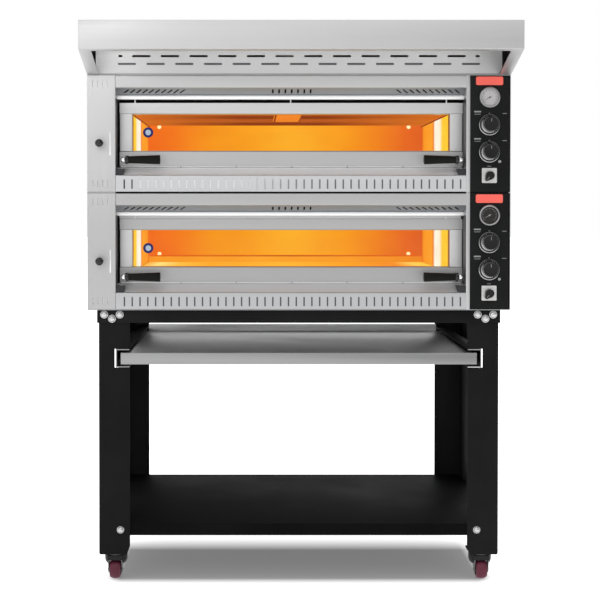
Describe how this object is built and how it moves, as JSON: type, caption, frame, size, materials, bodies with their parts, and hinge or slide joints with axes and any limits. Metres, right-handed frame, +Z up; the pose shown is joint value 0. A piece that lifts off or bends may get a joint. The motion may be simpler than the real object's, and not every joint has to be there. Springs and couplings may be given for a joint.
{
  "type": "pizza oven",
  "caption": "Floor-standing two-deck electric pizza oven with glazed doors, extraction hood, and a wheeled stand with a shelf and a pull-out tray.",
  "frame": {"origin": "on the floor, under the middle of the object's bounding box", "axes": "+Z up; the doors and controls face -Y; +X is to the right for a person facing the doors"},
  "size_m": [1.36, 1.065, 1.833],
  "materials": {
    "stainless": "brushed stainless steel, fine grain",
    "hood_steel": "brushed stainless steel, brighter",
    "black_panel": "satin black",
    "black_powder": "black powder coat, satin",
    "tray_steel": "satin steel",
    "black_plastic": "satin moulded plastic",
    "dial": "chrome bezel round a pale dial",
    "glass": "clear oven glass over an orange glow",
    "chamber_steel": "heat-tinted steel, matt",
    "stone": "rough fired stone",
    "element": "oxidised metal, matt",
    "zinc": "dark plated steel",
    "wheel_red": "moulded tread, satin"
  },
  "bodies": {
    "frame": {"front_left_leg": "black_powder", "front_right_leg": "black_powder", "rear_left_leg": "black_powder", "rear_right_leg": "black_powder", "stand_front_beam": "black_powder", "stand_rear_beam": "black_powder", "stand_left_beam": "black_powder", "stand_right_beam": "black_powder", "lower_shelf": "black_powder", "left_tray_rail": "black_powder", "right_tray_rail": "black_powder", "hood_shell": "hood_steel", "hood_slotted_panel": "hood_steel", "flue_collar": "hood_steel", "lower_casing": "stainless", "lower_chamber": "chamber_steel", "lower_baking_stone": "stone", "lower_heating_element": "element", "lower_top_fascia": "stainless", "lower_bottom_fascia": "stainless", "lower_left_panel": "stainless", "lower_rear_cover": "stainless", "lower_control_panel": "black_panel", "lower_thermometer": "dial", "upper_casing": "stainless", "upper_chamber": "chamber_steel", "upper_baking_stone": "stone", "upper_heating_element": "element", "upper_top_fascia": "stainless", "upper_bottom_fascia": "stainless", "upper_left_panel": "stainless", "upper_rear_cover": "stainless", "upper_control_panel": "black_panel", "upper_thermometer": "dial"},
    "lower_door": {"lower_door_frame": "stainless", "lower_door_glass": "glass", "lower_left_handle": "black_plastic", "lower_right_handle": "black_plastic"},
    "lower_top_heat_knob": {"lower_top_heat_knob": "black_plastic"},
    "lower_bottom_heat_knob": {"lower_bottom_heat_knob": "black_plastic"},
    "lower_power_switch": {"lower_power_switch": "black_plastic"},
    "lower_damper": {"lower_damper_knob": "black_plastic"},
    "upper_door": {"upper_door_frame": "stainless", "upper_door_glass": "glass", "upper_left_handle": "black_plastic", "upper_right_handle": "black_plastic"},
    "upper_top_heat_knob": {"upper_top_heat_knob": "black_plastic"},
    "upper_bottom_heat_knob": {"upper_bottom_heat_knob": "black_plastic"},
    "upper_power_switch": {"upper_power_switch": "black_plastic"},
    "upper_damper": {"upper_damper_knob": "black_plastic"},
    "tray": {"sliding_tray": "tray_steel"},
    "front_left_castor": {"front_left_castor_fork": "zinc"},
    "front_left_wheel": {"front_left_castor_wheel": "wheel_red"},
    "front_right_castor": {"front_right_castor_fork": "zinc"},
    "front_right_wheel": {"front_right_castor_wheel": "wheel_red"},
    "rear_left_castor": {"rear_left_castor_fork": "zinc"},
    "rear_left_wheel": {"rear_left_castor_wheel": "wheel_red"},
    "rear_right_castor": {"rear_right_castor_fork": "zinc"},
    "rear_right_wheel": {"rear_right_castor_wheel": "wheel_red"}
  },
  "joints": [
    {"name": "lower_door_hinge", "type": "hinge", "parent": "frame", "child": "lower_door", "pos_m": [0, -0.2475, 1.1563], "axis": [-1, 0, 0], "range_deg": [0, 80]},
    {"name": "lower_top_heat_turn", "type": "hinge", "parent": "frame", "child": "lower_top_heat_knob", "pos_m": [0.611, -0.3378, 1.0983], "axis": [0, 1, 0], "range_deg": [0, 300]},
    {"name": "lower_bottom_heat_turn", "type": "hinge", "parent": "frame", "child": "lower_bottom_heat_knob", "pos_m": [0.611, -0.3378, 1.0113], "axis": [0, 1, 0], "range_deg": [0, 300]},
    {"name": "lower_power_turn", "type": "hinge", "parent": "frame", "child": "lower_power_switch", "pos_m": [0.611, -0.3401, 0.9353], "axis": [0, 1, 0], "range_deg": [0, 90]},
    {"name": "lower_damper_slide", "type": "slide", "parent": "frame", "child": "lower_damper", "axis": [0, -1, 0], "range_m": [0, 0.05]},
    {"name": "upper_door_hinge", "type": "hinge", "parent": "frame", "child": "upper_door", "pos_m": [0, -0.2475, 1.534], "axis": [-1, 0, 0], "range_deg": [0, 80]},
    {"name": "upper_top_heat_turn", "type": "hinge", "parent": "frame", "child": "upper_top_heat_knob", "pos_m": [0.611, -0.3378, 1.476], "axis": [0, 1, 0], "range_deg": [0, 300]},
    {"name": "upper_bottom_heat_turn", "type": "hinge", "parent": "frame", "child": "upper_bottom_heat_knob", "pos_m": [0.611, -0.3378, 1.389], "axis": [0, 1, 0], "range_deg": [0, 300]},
    {"name": "upper_power_turn", "type": "hinge", "parent": "frame", "child": "upper_power_switch", "pos_m": [0.611, -0.3401, 1.313], "axis": [0, 1, 0], "range_deg": [0, 90]},
    {"name": "upper_damper_slide", "type": "slide", "parent": "frame", "child": "upper_damper", "axis": [0, -1, 0], "range_m": [0, 0.05]},
    {"name": "tray_slide", "type": "slide", "parent": "frame", "child": "tray", "axis": [0, -1, 0], "range_m": [0, 0.45]},
    {"name": "front_left_swivel", "type": "hinge", "parent": "frame", "child": "front_left_castor", "pos_m": [-0.5965, -0.2642, 0.0837], "axis": [0, 0, 1], "continuous": true},
    {"name": "front_left_roll", "type": "hinge", "parent": "front_left_castor", "child": "front_left_wheel", "pos_m": [-0.5965, -0.2862, 0.03], "axis": [1, 0, 0], "continuous": true},
    {"name": "front_right_swivel", "type": "hinge", "parent": "frame", "child": "front_right_castor", "pos_m": [0.5965, -0.2642, 0.0837], "axis": [0, 0, 1], "continuous": true},
    {"name": "front_right_roll", "type": "hinge", "parent": "front_right_castor", "child": "front_right_wheel", "pos_m": [0.5965, -0.2862, 0.03], "axis": [1, 0, 0], "continuous": true},
    {"name": "rear_left_swivel", "type": "hinge", "parent": "frame", "child": "rear_left_castor", "pos_m": [-0.5965, 0.3642, 0.0837], "axis": [0, 0, 1], "continuous": true},
    {"name": "rear_left_roll", "type": "hinge", "parent": "rear_left_castor", "child": "rear_left_wheel", "pos_m": [-0.5965, 0.3422, 0.03], "axis": [1, 0, 0], "continuous": true},
    {"name": "rear_right_swivel", "type": "hinge", "parent": "frame", "child": "rear_right_castor", "pos_m": [0.5965, 0.3642, 0.0837], "axis": [0, 0, 1], "continuous": true},
    {"name": "rear_right_roll", "type": "hinge", "parent": "rear_right_castor", "child": "rear_right_wheel", "pos_m": [0.5965, 0.3422, 0.03], "axis": [1, 0, 0], "continuous": true}
  ]
}
